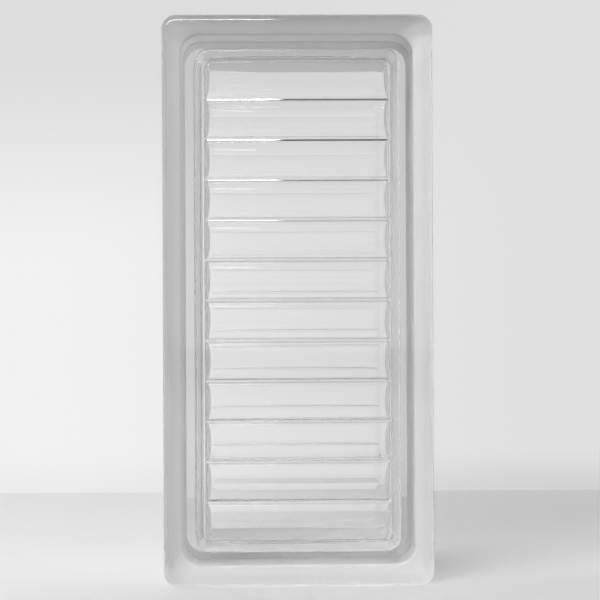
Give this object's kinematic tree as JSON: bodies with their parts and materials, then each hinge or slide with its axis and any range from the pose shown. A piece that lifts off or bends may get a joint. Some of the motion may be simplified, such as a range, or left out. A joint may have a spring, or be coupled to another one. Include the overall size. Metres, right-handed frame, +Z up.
{
  "type": "glass block",
  "caption": "Hollow fused glass block in half-block format, with horizontal flutes on its inner faces, a clear border and a mortar channel round its sides.",
  "frame": {"origin": "centre of the base, on the level that the block's lower lips stand on", "axes": "+Z up along the block's height, +X to the right across its width as seen from the front, -Y out of the front face"},
  "size_m": [0.09, 0.08, 0.19],
  "materials": {
    "glass": "clear pressed soda-lime glass, fire-polished faces, satin sides"
  },
  "bodies": {
    "root": {"glass_block": "glass"}
  },
  "joints": []
}
